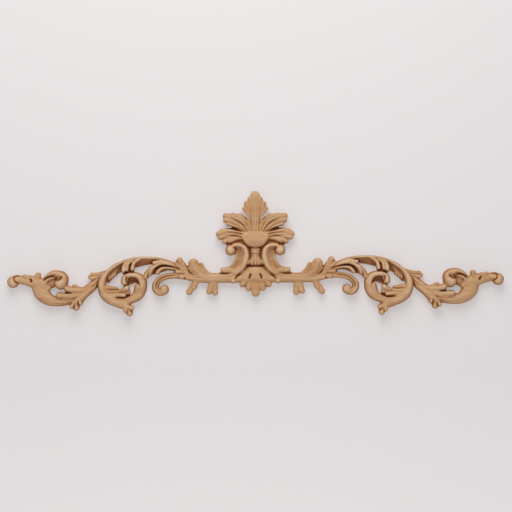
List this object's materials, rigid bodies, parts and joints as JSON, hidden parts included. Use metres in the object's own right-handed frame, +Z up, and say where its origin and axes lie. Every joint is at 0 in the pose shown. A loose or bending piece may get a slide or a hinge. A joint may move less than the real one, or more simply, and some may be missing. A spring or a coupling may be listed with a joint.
{
  "type": "furniture pediment",
  "caption": "Carved wooden furniture pediment: a palmette on C scrolls between leafy scrolled vine wings, flat backed, glued to the crest of a mirror, bed or cabinet",
  "frame": {"origin": "on the flat back, at the middle of the width, level with the line on which the wings' stems meet; it is the mount named back", "axes": "+X along the width, to the right of someone who looks at the carving; +Y out of the flat back, into the furniture, so the carving faces -Y; +Z up, towards the palmette's tip"},
  "size_m": [0.8002, 0.0238, 0.2009],
  "materials": {
    "beech": "raw beech, sanded and unfinished, pale reddish brown with fine grain along the width"
  },
  "bodies": {
    "root": {"carved_pediment": "beech"}
  },
  "joints": []
}
